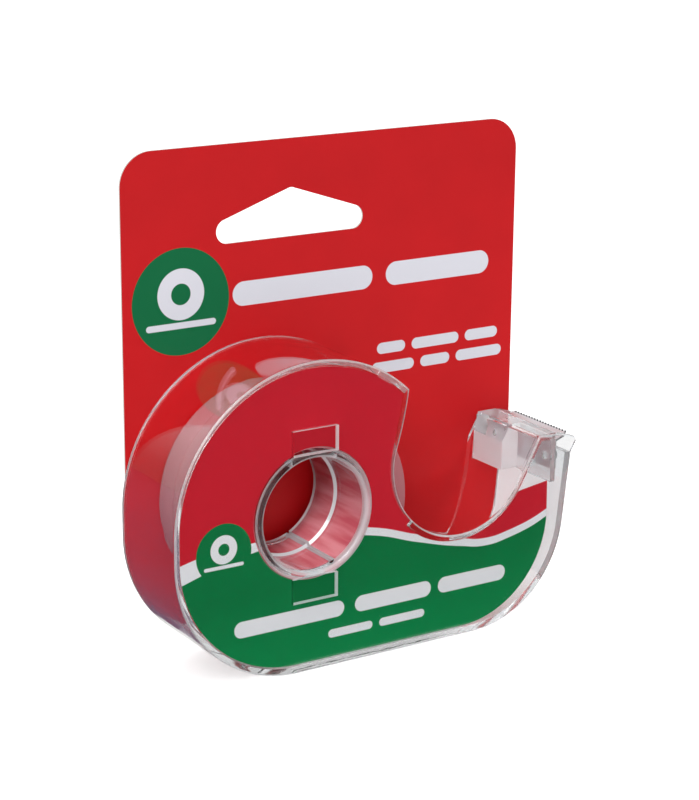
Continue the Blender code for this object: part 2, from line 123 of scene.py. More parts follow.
world = bpy.data.worlds.new("tent")
scene.world = world
world.use_nodes = True
sky = Socket(world.node_tree)
seen = sky.node("LightPath", output=0)
way = sky.node("TexCoord")
across, behind, up = [
    sky.node("MapRange", {"interpolation_type": "SMOOTHSTEP"}, {
        "Value": sky.node("SeparateXYZ", sockets={0: way}, output=axis),
        "From Min": first, "From Max": last})
    for axis, first, last in ((0, -0.2, 0.3), (1, 0.0, 0.6), (2, 0.05, 0.7))]
mirrored = sky.node("LightPath", output="Glossy Depth").math("GREATER_THAN", 0.5)
dark_side = mirrored * (1.0 - across.math("MAXIMUM", up))
backdrop = BACKDROP_GLOW - dark_side * (BACKDROP_GLOW - DARK_SIDE_GLOW)
dome = TENT_GLOW + behind * (backdrop - TENT_GLOW)
glow = dome + seen * (BACKDROP_GLOW - dome)
tent = world.node_tree.nodes["Background"]
tent.inputs["Color"].default_value = (1.0, 1.0, 1.0, 1.0)
world.node_tree.links.new(glow.output, tent.inputs["Strength"])


def stage_plane(name, size, place, colour):
    """Flat matt plane on the stage."""
    bpy.ops.object.select_all(action="DESELECT")
    bpy.ops.mesh.primitive_plane_add(size=1.0, location=place)
    plane = bpy.context.object
    plane.name = name
    plane.scale = (*size, 1.0)
    bpy.ops.object.transform_apply(location=False, rotation=False)
    matt = bpy.data.materials.new(name)
    matt.use_nodes = True
    shader = matt.node_tree.nodes["Principled BSDF"]
    shader.inputs["Base Color"].default_value = (*colour, 1.0)
    shader.inputs["Roughness"].default_value = 0.9
    shader.inputs["Specular IOR Level"].default_value = 0.1
    plane.data.materials.append(matt)
    return plane, Socket(matt.node_tree), shader


_, start, shader = stage_plane("table", (14.0, 14.0), (0.0, 0.0, -0.0002), (0.95, 0.95, 0.95))
lift = (start.node("LightPath", output=0) * TABLE_LIFT
        + start.node("LightPath", output=6) * TABLE_LIFT_THROUGH_CLEAR)
start.tree.links.new(lift.output, shader.inputs["Emission Color"])
shader.inputs["Emission Strength"].default_value = 1.0

for name, size, place, colour in (
        ("front_flag", (1.8, 0.9), (0.2, -0.464, 0.0002), (0.01, 0.01, 0.01)),
        ("side_flag", (6.96, 7.05), (-3.515, 3.475, 0.0002), (0.20, 0.12, 0.19))):
    flag, start, shader = stage_plane(name, size, place, colour)
    mirrored = start.node("LightPath", output="Glossy Depth").math("GREATER_THAN", 0.5)
    laid = start.node("MixShader", sockets={
        0: mirrored, 1: start.node("BsdfTransparent"), 2: Socket(start.tree, shader.outputs[0])})
    start.tree.links.new(laid.output, start.tree.nodes["Material Output"].inputs["Surface"])
    flag.visible_camera = False
    flag.visible_diffuse = False
    flag.visible_shadow = False


def softbox(name, place, target, long_way, size, power):
    """Oblong lamp at a place, turned towards a target, with its long side along a direction."""
    lamp = bpy.data.lights.new(name, "AREA")
    lamp.shape = "RECTANGLE"
    lamp.size = size[0]
    lamp.size_y = size[1]
    lamp.energy = power
    box = bpy.data.objects.new(name, lamp)
    scene.collection.objects.link(box)
    back = (Vector(place) - Vector(target)).normalized()
    across = Vector(long_way)
    across = (across - back * across.dot(back)).normalized()
    turn = Matrix((across, back.cross(across), back)).transposed()
    box.matrix_world = Matrix.Translation(place) @ turn.to_4x4()


softbox("key_box", (-0.55, -0.65, 0.85), (0.0, 0.0, 0.04), (0.7, 0.0, 0.7), (0.95, 0.16), 5.0)

lens = bpy.data.cameras.new("camera")
lens.lens = 99.7
lens.sensor_width = 36.0
camera = bpy.data.objects.new("camera", lens)
scene.collection.objects.link(camera)
camera.matrix_world = (
    Matrix.Translation((-0.2255, -0.3491, 0.1682))
    @ Matrix.Rotation(math.radians(-32.67), 4, "Z")
    @ Matrix.Rotation(math.radians(74.01), 4, "X")
    @ Matrix.Rotation(math.radians(0.475), 4, "Z")
)
scene.camera = camera


# ------------------------------------------------------------------ hang card
# Solid board, 0.45 mm, printed and varnished on its front, grey and flecked on its back and its
# cut edges.  It is die cut, with a roof-shaped hole for a shop hook, and glued to the shell.

MM = 0.001
roll_low, roll_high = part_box("tape_roll")
HUB_X = (roll_low.x + roll_high.x) / 2.0
HUB_Z = (roll_low.z + roll_high.z) / 2.0
FRONT_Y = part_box("dispenser_shell")[0].y


def arc(centre, radius, start, end, step=1.5):
    """Points of an arc in (u, w) millimetres from the hub's axis; its angles are in degrees."""
    steps = max(2, math.ceil(abs(end - start) / step))
    turns = [math.radians(start + (end - start) * i / steps) for i in range(steps + 1)]
    return [(centre[0] + radius * math.cos(a), centre[1] + radius * math.sin(a)) for a in turns]


def pick(piece):
    """Select one piece alone and make it the active one."""
    bpy.ops.object.select_all(action="DESELECT")
    piece.select_set(True)
    bpy.context.view_layer.objects.active = piece


def outline_mesh(name, points, place, turn):
    """Closed wire through points, as a flat curve made a mesh, then put in place."""
    curve = bpy.data.curves.new(name, "CURVE")
    curve.dimensions = "2D"
    curve.fill_mode = "NONE"
    spline = curve.splines.new("POLY")
    spline.points.add(len(points) - 1)
    for point, (across, up) in zip(spline.points, points):
        point.co = (across * MM, up * MM, 0.0, 1.0)
    spline.use_cyclic_u = True
    wire = bpy.data.objects.new(name, curve)
    scene.collection.objects.link(wire)
    pick(wire)
    bpy.ops.object.convert(target="MESH")
    wire.location = place
    wire.rotation_euler = (turn, 0.0, 0.0)
    bpy.ops.object.transform_apply()
    return wire


def thickened(wire, move):
    """Fill a closed wire, which is the active object, and extrude it into a solid."""
    bpy.ops.object.mode_set(mode="EDIT")
    bpy.ops.mesh.select_all(action="SELECT")
    bpy.ops.mesh.edge_face_add()
    bpy.ops.mesh.extrude_region_move(TRANSFORM_OT_translate={"value": move})
    bpy.ops.mesh.select_all(action="SELECT")
    bpy.ops.mesh.normals_make_consistent(inside=False)
    bpy.ops.object.mode_set(mode="OBJECT")
    return wire


def slab(name, outline, front, rear):
    """Solid plate with a side outline in (u, w), between two depths from the front face."""
    wire = outline_mesh(name, outline, (HUB_X, FRONT_Y + front * MM, HUB_Z), math.pi / 2.0)
    return thickened(wire, (0.0, (rear - front) * MM, 0.0))


def round_edges(piece, size, wanted, segments=4):
    """Bevel the edges that a test picks from their two ends, as (u, depth, w) millimetres."""
    pick(piece)
    bpy.ops.object.mode_set(mode="EDIT")
    bpy.ops.mesh.select_mode(type="EDGE")
    bpy.ops.mesh.select_all(action="DESELECT")
    bpy.ops.object.mode_set(mode="OBJECT")
    corner = Vector((HUB_X, FRONT_Y, HUB_Z))
    spots = [(point.co - corner) / MM for point in piece.data.vertices]
    for edge in piece.data.edges:
        edge.select = wanted(spots[edge.vertices[0]], spots[edge.vertices[1]])
    bpy.ops.object.mode_set(mode="EDIT")
    bpy.ops.mesh.bevel(offset=size * MM, segments=segments, affect="EDGES")
    bpy.ops.object.mode_set(mode="OBJECT")


def at_depth(depth):
    """Test that picks the edges lying at one depth."""
    return lambda a, b: abs(a.y - depth) < 0.01 and abs(b.y - depth) < 0.01


def combine(piece, tool, operation):
    """Join a tool to a piece, or cut it away, and take the tool off the bench."""
    modifier = piece.modifiers.new("combine", "BOOLEAN")
    modifier.operation = operation
    modifier.solver = "EXACT"
    modifier.object = tool
    pick(piece)
    bpy.ops.object.modifier_apply(modifier=modifier.name)
    bpy.data.objects.remove(tool, do_unlink=True)


def smooth(piece, angle=35.0):
    """Shade a piece smooth, with its large flat faces kept flat."""
    pick(piece)
    bpy.ops.object.shade_smooth_by_angle(angle=math.radians(angle))
    even = piece.modifiers.new("even", "WEIGHTED_NORMAL")
    even.keep_sharp = True
    bpy.ops.object.modifier_apply(modifier=even.name)


def finish(name, settings):
    """New material with the numbers that are the same all over; gives its tree and shader."""
    made = bpy.data.materials.new(name)
    made.use_nodes = True
    shader = made.node_tree.nodes["Principled BSDF"]
    for socket, value in settings.items():
        shader.inputs[socket].default_value = value
    return made, Socket(made.node_tree), shader


def feed(start, shader, socket, value):
    """Link a worked-out value to one of the shader's sockets."""
    start.tree.links.new(value.output, shader.inputs[socket])


def hub_millimetres(start):
    """Object coordinates as (u, depth, w) millimetres from the hub's axis and the front face."""
    place = start.node("TexCoord", output=3)
    moved = start.node("VectorMath", {"operation": "SUBTRACT"}, {0: place, 1: (HUB_X, FRONT_Y, HUB_Z)})
    scaled = start.node("VectorMath", {"operation": "SCALE"}, {0: moved, "Scale": 1.0 / MM})
    return scaled, [start.node("SeparateXYZ", sockets={0: scaled}, output=i) for i in range(3)]


PRINT_EDGE = 0.10


def bar(u, w, left, right, low, high):
    """Distance to a bar with round ends, which stands for a printed word."""
    half = (high - low) / 2.0
    along = ((u - (left + right) / 2.0).math("ABSOLUTE") - ((right - left) / 2.0 - half))
    along = along.math("MAXIMUM", 0.0)
    across = w - (low + high) / 2.0
    return (along * along + across * across).math("SQRT") - half


def ring(u, w, centre, radius, half):
    """Distance to a ring of a mean radius and half a width."""
    across = u - centre[0]
    up = w - centre[1]
    reach = (across * across + up * up).math("SQRT")
    return (reach - radius).math("ABSOLUTE") - half


def nearest(shapes):
    """Distance to the nearest of several shapes."""
    found = shapes[0]
    for shape in shapes[1:]:
        found = found.math("MINIMUM", shape)
    return found


def inked(distance):
    """Share of ink on a spot: full inside a shape, none outside it."""
    return (0.5 - distance / PRINT_EDGE).math("MULTIPLY", 1.0, clamp=True)


def tinted(start, share, under, over):
    """Colour under with colour over laid on it by a share."""
    return start.node("Mix", {"data_type": "RGBA"}, {0: share, 6: under, 7: over}, output=2)


def roll_badge(start, u, w, centre, size, under, disc_colour, roll_colour):
    """Plain disc with a picture of a tape roll that stands on a strip of tape."""
    disc = ring(u, w, centre, size / 2.0, size / 2.0)
    roll = ring(u, w, (centre[0], centre[1] + size * 0.14), size * 0.34, size * 0.14)
    strip_low = centre[1] - size * 0.50
    strip = bar(u, w, centre[0] - size * 0.72, centre[0] + size * 0.72, strip_low,
                strip_low + size * 0.12)
    with_disc = tinted(start, inked(disc), under, disc_colour)
    return tinted(start, inked(nearest([roll, strip])), with_disc, roll_colour)


card_low, card_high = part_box("hang_card")
CARD_FRONT = (card_low.y - FRONT_Y) / MM
CARD_REAR = (card_high.y - FRONT_Y) / MM
CARD_LEFT = (card_low.x - HUB_X) / MM
CARD_RIGHT = (card_high.x - HUB_X) / MM
CARD_TOP = (card_high.z - HUB_Z) / MM
CARD_CORNER = 6.5
BASE_W = -HUB_Z / MM
HEEL_RADIUS = 26.5
TOE_RADIUS = 22.0
TOE_CENTRE = (37.5, BASE_W + TOE_RADIUS)
CARD_INSET = 0.8
CARD_RED = (0.67, 0.0085, 0.0125, 1.0)
CARD_WHITE = (0.78, 0.78, 0.85, 1.0)
CARD_GREEN = (0.004, 0.16, 0.055, 1.0)
BOARD_GREY = (0.70, 0.69, 0.66, 1.0)
BOARD_STAIN = (0.58, 0.55, 0.50, 1.0)
BOARD_FLECK = (0.30, 0.26, 0.21, 1.0)

card_outline = (
    arc((CARD_RIGHT - CARD_CORNER, CARD_TOP - CARD_CORNER), CARD_CORNER, 0.0, 90.0, 4.0)
    + arc((CARD_LEFT + CARD_CORNER, CARD_TOP - CARD_CORNER), CARD_CORNER, 90.0, 180.0, 4.0)
    + arc((CARD_LEFT + HEEL_RADIUS - CARD_INSET, BASE_W + HEEL_RADIUS), HEEL_RADIUS - CARD_INSET,
          180.0, 270.0)
    + arc(TOE_CENTRE, TOE_RADIUS - CARD_INSET, -90.0, -6.0)
    + [(CARD_RIGHT, 5.0)]
)
HOLE_CENTRE = 7.4
HOLE_REACH = 14.1
HOLE_END = (51.7, 2.4)
HOLE_PEAK = (57.3, 1.6)
ROOF = math.degrees(math.atan2(HOLE_PEAK[0] - HOLE_END[0], HOLE_REACH)) + 2.0
hole_outline = (
    arc((HOLE_CENTRE + HOLE_REACH, HOLE_END[0]), HOLE_END[1], -90.0, 90.0 - ROOF, 6.0)
    + arc((HOLE_CENTRE, HOLE_PEAK[0]), HOLE_PEAK[1], 90.0 - ROOF, 90.0 + ROOF, 6.0)
    + arc((HOLE_CENTRE - HOLE_REACH, HOLE_END[0]), HOLE_END[1], 90.0 + ROOF, 270.0, 6.0)
)
card = slab("printed_hang_card", card_outline, CARD_FRONT, CARD_REAR)
combine(card, slab("hook_hole", hole_outline, CARD_FRONT - 1.0, CARD_REAR + 1.0), "DIFFERENCE")
smooth(card)

card_finish, start, shader = finish("varnished_board", {"Specular IOR Level": 0.2})
place, (u, depth, w) = hub_millimetres(start)
fibre = start.node("TexNoise", sockets={"Vector": place, "Scale": 3.2, "Detail": 3.0})
cloud = start.node("TexNoise", sockets={"Vector": place, "Scale": 0.09, "Detail": 2.0})
print_red = tinted(start, cloud, tuple(c * 0.93 for c in CARD_RED[:3]) + (1.0,),
                   tuple(c * 1.07 for c in CARD_RED[:3]) + (1.0,))
# Painted shade: the print red is darkened by up to 12% towards the top of the card.
painted_top_shade = start.node("MapRange", sockets={
    "Value": w, "From Min": 20.0, "From Max": 60.0, "To Min": 0.0, "To Max": 0.12})
print_red = tinted(start, painted_top_shade, print_red, (0.0, 0.0, 0.0, 1.0))
words = nearest([
    bar(u, w, -5.6, 26.3, 36.8, 41.6), bar(u, w, 29.5, 54.7, 36.8, 41.6),
    bar(u, w, 27.6, 34.4, 22.9, 25.2), bar(u, w, 36.0, 47.6, 22.9, 25.2),
    bar(u, w, 49.2, 57.4, 22.9, 25.2), bar(u, w, 26.4, 36.6, 18.9, 21.2),
    bar(u, w, 38.2, 45.4, 18.9, 21.2), bar(u, w, 47.0, 58.5, 18.9, 21.2),
])
face = tinted(start, inked(words), print_red, CARD_WHITE)
face = roll_badge(start, u, w, (-16.8, 39.2), 10.4, face, CARD_GREEN, CARD_WHITE)
board = tinted(start, fibre, tuple(c * 0.90 for c in BOARD_GREY[:3]) + (1.0,), BOARD_GREY)
board = tinted(start, cloud * 0.5, board, BOARD_STAIN)
fleck = start.node("TexNoise", sockets={"Vector": place, "Scale": 1.1, "Detail": 2.0})
fleck = start.node("MapRange", sockets={"Value": fleck, "From Min": 0.66, "From Max": 0.72})
board = tinted(start, fleck * 0.6, board, BOARD_FLECK)
printed = (0.5 - (depth - (CARD_FRONT + 0.06)) / 0.03).math("MULTIPLY", 1.0, clamp=True)
feed(start, shader, "Base Color", tinted(start, printed, board, face))
feed(start, shader, "Roughness", 0.75 - printed * 0.40 + fibre * 0.06)
feed(start, shader, "Normal", start.node(
    "Bump", sockets={"Strength": 0.05, "Distance": 0.00002, "Height": fibre}))
card.data.materials.append(card_finish)
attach(card, "card")
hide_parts("hang_card")


# ------------------------------------------------------------------ front label
# Gloss paper with a hole for the hub.  It lies loose behind the front wall, and its lower edge
# is a strip folded back along the base, which keeps it in place.

WALL = 1.2
LABEL_EDGE = 0.3
LABEL_HOLE = 13.2
RIM_RADIUS = 30.3
RIM_END = 46.0
HEEL_CENTRE = (-RIM_RADIUS + HEEL_RADIUS, BASE_W + HEEL_RADIUS)
GAP_CENTRE = (33.9, 6.1)
GAP_RADIUS = 16.1
GAP_START = 169.0
GAP_WALL_START = 226.0
label_low, label_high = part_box("front_label")
LABEL_FRONT = (label_low.y - FRONT_Y) / MM
LABEL_REAR = LABEL_FRONT + 0.3
LABEL_STRIP_REAR = (label_high.y - FRONT_Y) / MM
LABEL_RED = (0.645, 0.0115, 0.028, 1.0)
LABEL_GREEN = (0.001, 0.205, 0.056, 1.0)
LABEL_GREEN_PAINTED_LIGHT = (0.001, 0.27, 0.075, 1.0)
LABEL_WHITE = (0.90, 0.90, 0.93, 1.0)
HUB_OUTER = 12.2
WINDOW_HALF = 5.0
WINDOW_REACH = 17.2
WINDOW_PAINTED_SHADE = 0.30

edge = WALL + LABEL_EDGE
label_outline = (
    arc((0.0, 0.0), RIM_RADIUS - edge, RIM_END, 180.0)
    + arc(HEEL_CENTRE, HEEL_RADIUS - edge, 180.0, 270.0)
    + arc((35.2, -9.3), 20.6, -90.0, 3.0)
    + [(55.7, -2.7)]
    + arc(GAP_CENTRE, GAP_RADIUS + edge, 326.0, GAP_WALL_START - 2.0)
    + arc(GAP_CENTRE, GAP_RADIUS + LABEL_EDGE, GAP_WALL_START - 2.0, GAP_START)
)
label = slab("printed_label", label_outline, LABEL_FRONT, LABEL_REAR)
hub_hole = slab("hub_hole", arc((0.0, 0.0), LABEL_HOLE, 0.0, 358.0, 2.0), -1.0, 5.0)
combine(label, hub_hole, "DIFFERENCE")
strip_low = BASE_W + edge + 0.02
strip = slab("label_strip", [(-2.0, strip_low), (36.0, strip_low), (36.0, strip_low + 0.28),
                             (-2.0, strip_low + 0.28)], LABEL_FRONT + 0.15, LABEL_STRIP_REAR)
combine(label, strip, "UNION")
smooth(label)

label_finish, start, shader = finish("gloss_paper", {"Specular IOR Level": 0.15})
place, (u, depth, w) = hub_millimetres(start)
fibre = start.node("TexNoise", sockets={"Vector": place, "Scale": 2.4, "Detail": 3.0})
cloud = start.node("TexNoise", sockets={"Vector": place, "Scale": 0.08, "Detail": 2.0})
WAVE = [(-30.0, -7.4), (-13.0, -4.3), (0.0, -3.9), (12.5, -5.7), (24.3, -9.3), (35.0, -12.1),
        (41.0, -13.0), (46.0, -12.4), (56.0, -9.3)]
wave_share = start.node("FloatCurve", {"points": [((a + 30.0) / 86.0, (b + 14.0) / 14.0)
                                                  for a, b in WAVE]},
                        {"Value": (u + 30.0) / 86.0})
wave = wave_share * 14.0 - 14.0
wave_half = 0.8 + start.node("MapRange", {"interpolation_type": "SMOOTHSTEP"}, {
    "Value": u, "From Min": -30.0, "From Max": -8.0, "To Min": 1.2, "To Max": 0.0})
over_wave = w - wave
# Painted light: the green is lighter towards the base, where the table's light is mirrored in the
# label.
green = tinted(start, start.node("MapRange", sockets={
    "Value": w, "From Min": -31.0, "From Max": -14.0, "To Min": 1.0, "To Max": 0.0}),
    LABEL_GREEN, LABEL_GREEN_PAINTED_LIGHT)
ground = tinted(start, inked(over_wave), LABEL_RED, green)
ground = tinted(start, inked(over_wave.math("ABSOLUTE") - wave_half), ground, LABEL_WHITE)
words = nearest([
    bar(u, w, -17.5, 7.0, -21.9, -18.6), bar(u, w, 9.5, 27.4, -21.9, -18.6),
    bar(u, w, 29.1, 45.6, -21.9, -18.6), bar(u, w, 3.4, 13.6, -26.0, -24.3),
    bar(u, w, 15.2, 25.9, -26.0, -24.3),
])
face = tinted(start, inked(words), ground, LABEL_WHITE)
face = roll_badge(start, u, w, (-19.6, -4.3), 5.9, face, LABEL_GREEN, LABEL_WHITE)
# Painted shade: in the two windows, where no wall covers the paper, the print is darkened by 30%, so
# it reads no lighter than the print behind the wall.
window_up = ((w.math("ABSOLUTE") - (WINDOW_REACH + HUB_OUTER) / 2.0).math("ABSOLUTE")
             - (WINDOW_REACH - HUB_OUTER) / 2.0)
in_window = inked((u.math("ABSOLUTE") - WINDOW_HALF).math("MAXIMUM", window_up))
face = tinted(start, in_window * WINDOW_PAINTED_SHADE, face, (0.0, 0.0, 0.0, 1.0))
paper = tinted(start, fibre, (0.62, 0.60, 0.58, 1.0), (0.72, 0.70, 0.68, 1.0))
printed = (0.5 - (depth - (LABEL_FRONT + 0.2)) / 0.03).math("MULTIPLY", 1.0, clamp=True)
feed(start, shader, "Base Color", tinted(start, printed, paper, face))
feed(start, shader, "Roughness", 0.65 - printed * 0.38 + cloud * 0.08)
feed(start, shader, "Normal", start.node(
    "Bump", sockets={"Strength": 0.04, "Distance": 0.00002, "Height": fibre}))
label.data.materials.append(label_finish)
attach(label, "shell")
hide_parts("front_label")


# ------------------------------------------------------------------ clear moulding
# Clear polystyrene, moulded in one shot: front wall, outer wall, finger gap, hub and the head of
# the arm.  Its walls are 1.2 mm, with polished sides and small rounds on the edges.  Its steps, cut
# sides and edges carry a whitish painted glow, for light piped along the clear walls.

SHELL_DEPTH = (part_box("dispenser_shell")[1].y - FRONT_Y) / MM
HEAD_TOP = 7.3
HEAD_INNER = 52.8
ARM_TOP = (61.0, 2.8)
EAR = [(62.3, 5.0), (61.9, 6.0), (58.5, 7.1)]
WEB = (56.2, 57.4)
WEB_BOTTOM = -3.0
JOIN = 0.4
GAP_LIP = WALL + 1.0
GAP_SLANT_START = 31.9
GAP_SLANT_END = 50.5
GAP_SLANT = (GAP_SLANT_END - GAP_SLANT_START) / (SHELL_DEPTH - GAP_LIP)
BEYOND = SHELL_DEPTH + 2.0
BLOCK_INNER = 52.2
BLOCK_FRONT = 11.0


def rim_line(inset):
    """Outer wall, from the tape's exit round the base to the top of the arm."""
    toe_end = math.radians(-6.0)
    return (
        arc((0.0, 0.0), RIM_RADIUS - inset, RIM_END, 180.0)
        + arc(HEEL_CENTRE, HEEL_RADIUS - inset, 180.0, 270.0)
        + arc(TOE_CENTRE, TOE_RADIUS - inset, -90.0, -6.0)
        + [(ARM_TOP[0] - inset * math.cos(toe_end), ARM_TOP[1])]
    )


def gap_line(outset, first=GAP_WALL_START):
    """Edge of the finger gap, from an angle down, across and up to the head."""
    curve = arc(GAP_CENTRE, GAP_RADIUS + outset, first, 330.0)
    lean = math.tan(math.radians(30.0))
    return curve + [(curve[-1][0] + (HEAD_TOP - curve[-1][1]) * lean, HEAD_TOP)]


def exit_edge(first, last):
    """Slightly bowed edge of the front wall where the tape leaves the roll."""
    chord = Vector(last) - Vector(first)
    rise = 70.0 - math.sqrt(70.0 ** 2 - (chord.length / 2.0) ** 2)
    side = Vector((chord.y, -chord.x)).normalized()
    shares = [i / 12.0 for i in range(1, 12)]
    return [tuple(Vector(first) + chord * t + side * rise * 4.0 * t * (1.0 - t)) for t in shares]


gap_edge = gap_line(0.0, GAP_START)
front_outline = (rim_line(0.0) + EAR + [(HEAD_INNER, HEAD_TOP)] + gap_edge[-2::-1]
                 + exit_edge(gap_edge[0], rim_line(0.0)[0]))
shell = slab("clear_shell", front_outline, 0.0, WALL)
round_edges(shell, 0.35, at_depth(0.0))
rim = slab("rim_wall", rim_line(0.0) + rim_line(WALL)[::-1], WALL - JOIN, SHELL_DEPTH)
round_edges(rim, 0.2, at_depth(SHELL_DEPTH), 3)
combine(shell, rim, "UNION")
gap_wall = slab("gap_wall", gap_line(0.0) + gap_line(WALL)[::-1], WALL - JOIN, SHELL_DEPTH)
round_edges(gap_wall, 0.2, at_depth(SHELL_DEPTH), 3)
free_side = outline_mesh("free_side", [
    (0.0, GAP_LIP), (GAP_SLANT_START, GAP_LIP),
    (GAP_SLANT_START + (BEYOND - GAP_LIP) * GAP_SLANT, BEYOND), (0.0, BEYOND)],
    (HUB_X, FRONT_Y, HUB_Z - GAP_RADIUS * MM), 0.0)
combine(gap_wall, thickened(free_side, (0.0, 0.0, 2.0 * GAP_RADIUS * MM)), "DIFFERENCE")
combine(shell, gap_wall, "UNION")

HEAD_LEAN = math.tan(math.radians(30.0))
landing_low = HEAD_TOP - WALL
landing = slab("landing", [(HEAD_INNER - WALL * HEAD_LEAN + JOIN, landing_low),
                           (WEB[1], landing_low), (WEB[1], HEAD_TOP),
                           (HEAD_INNER + JOIN / 2.0, HEAD_TOP)], WALL - JOIN, SHELL_DEPTH)
combine(shell, landing, "UNION")
web = slab("web", [(WEB[0], WEB_BOTTOM), (WEB[1], WEB_BOTTOM), (WEB[1], HEAD_TOP - JOIN),
                   (WEB[0], HEAD_TOP - JOIN)], WALL - JOIN, SHELL_DEPTH - JOIN)
combine(shell, web, "UNION")
block = slab("rear_block", [(BLOCK_INNER, WEB_BOTTOM + 0.1), (WEB[1] - 0.1, WEB_BOTTOM + 0.1),
                            (WEB[1] - 0.1, HEAD_TOP - JOIN), (BLOCK_INNER, HEAD_TOP - JOIN)],
             BLOCK_FRONT, SHELL_DEPTH - JOIN)
round_edges(block, 0.3, at_depth(BLOCK_FRONT), 3)
combine(shell, block, "UNION")
rear_ear = slab("rear_ear", [(BLOCK_INNER, WEB_BOTTOM), (ARM_TOP[0] - WALL / 2.0 - JOIN, WEB_BOTTOM),
                             ARM_TOP, *EAR, (HEAD_INNER, HEAD_TOP)],
                SHELL_DEPTH - WALL, SHELL_DEPTH)
combine(shell, rear_ear, "UNION")


def turned(name, profile, steps=144):
    """Solid ring about the hub's axis, from a closed profile of (radius, depth) millimetres."""
    ring_wire = outline_mesh(name, profile, (HUB_X, FRONT_Y, HUB_Z), 0.0)
    bpy.ops.object.mode_set(mode="EDIT")
    bpy.ops.mesh.select_all(action="SELECT")
    bpy.ops.mesh.spin(steps=steps, angle=2.0 * math.pi, center=(HUB_X, 0.0, HUB_Z),
                      axis=(0.0, 1.0, 0.0))
    bpy.ops.mesh.select_all(action="SELECT")
    bpy.ops.mesh.remove_doubles(threshold=0.00001)
    bpy.ops.mesh.normals_make_consistent(inside=False)
    bpy.ops.object.mode_set(mode="OBJECT")
    return ring_wire


HUB_BORE = 11.3
HUB_STEP = 10.8
HUB_STEP_DEPTH = 11.0
HUB_END = 18.5
HUB_ROUND = 0.8
HUB_FILLET = 0.8
hub_mouth = [(HUB_BORE + HUB_ROUND - HUB_ROUND * math.cos(a), HUB_ROUND - HUB_ROUND * math.sin(a))
             for a in (math.radians(15.0 * i) for i in range(7))]
bore_cutter = slab("bore", arc((0.0, 0.0), HUB_OUTER - 0.05, 0.0, 357.5, 2.5), -2.0, WALL + 1.0)
combine(shell, bore_cutter, "DIFFERENCE")
hub_root = arc((HUB_OUTER + HUB_FILLET, WALL + HUB_FILLET), HUB_FILLET, 270.0, 180.0, 15.0)
hub = turned("hub", hub_mouth + [
    (HUB_OUTER, 0.0), (HUB_OUTER + HUB_FILLET, WALL - JOIN), *hub_root, (HUB_OUTER, HUB_END),
    (HUB_STEP, HUB_END), (HUB_STEP, HUB_STEP_DEPTH), (HUB_BORE, HUB_STEP_DEPTH - 0.5)])
combine(shell, hub, "UNION")

FINGER_HALF = 4.6
SLIT = 0.5
SLOT_DEPTH = 1.5
for side in (1.0, -1.0):
    slot = slab("slot", [(-FINGER_HALF - SLIT, side * 5.0), (FINGER_HALF + SLIT, side * 5.0),
                         (FINGER_HALF + SLIT, side * 14.0), (-FINGER_HALF - SLIT, side * 14.0)],
                SLOT_DEPTH, HUB_END + 2.0)
    combine(shell, slot, "DIFFERENCE")
    window = slab("window", [
        (-WINDOW_HALF, side * HUB_OUTER), (WINDOW_HALF, side * HUB_OUTER),
        (WINDOW_HALF, side * WINDOW_REACH), (-WINDOW_HALF, side * WINDOW_REACH)],
        -2.0, SLOT_DEPTH + 0.1)
    combine(shell, window, "DIFFERENCE")

POST_DEPTHS = (4.0, 17.2)
POST_W = 1.9
POST_END = 58.8
POST_HEAD = (58.4, 59.0)
for depth in POST_DEPTHS:
    for name, radius, near, far in (("post", 0.8, WEB[0] + JOIN, POST_END),
                                    ("post_head", 1.5, *POST_HEAD)):
        bpy.ops.object.select_all(action="DESELECT")
        bpy.ops.mesh.primitive_cylinder_add(
            vertices=32, radius=radius * MM, depth=(far - near) * MM,
            location=(HUB_X + (near + far) / 2.0 * MM, FRONT_Y + depth * MM, HUB_Z + POST_W * MM),
            rotation=(0.0, math.pi / 2.0, 0.0))
        post = bpy.context.object
        post.name = name
        bpy.ops.object.transform_apply()
        round_edges(post, 0.15, lambda a, b: a.x > far - 0.01 and b.x > far - 0.01, 3)
        combine(shell, post, "UNION")
smooth(shell)


def clear_finish(name, colour, ior, settings=None):
    """Clear plastic that lets the lamps' light through to what lies behind it."""
    made, start, shader = finish(name, {
        "Base Color": (*colour, 1.0), "Transmission Weight": 1.0, "IOR": ior, **(settings or {})})
    see_through = start.node("BsdfTransparent", sockets={"Color": (*colour, 1.0)})
    shadow = start.node("LightPath", output=1)
    glass = Socket(start.tree, shader.outputs[0])
    mixed = start.node("MixShader", sockets={0: shadow, 1: glass, 2: see_through})
    start.tree.links.new(mixed.output, start.tree.nodes["Material Output"].inputs["Surface"])
    return made, start, shader


shell_finish, start, shader = clear_finish("clear_polystyrene", (0.99, 0.992, 0.995), 1.59)
place, _ = hub_millimetres(start)
flow = start.node("TexNoise", sockets={"Vector": place, "Scale": 0.12, "Detail": 2.0})
scuffs = start.node("TexNoise", sockets={"Vector": place, "Scale": 1.3, "Detail": 6.0})
feed(start, shader, "Roughness", start.node("MapRange", sockets={
    "Value": scuffs, "From Min": 0.55, "From Max": 0.75, "To Min": 0.005, "To Max": 0.06}))
feed(start, shader, "Normal", start.node(
    "Bump", sockets={"Strength": 0.12, "Distance": 0.0002, "Height": flow}))

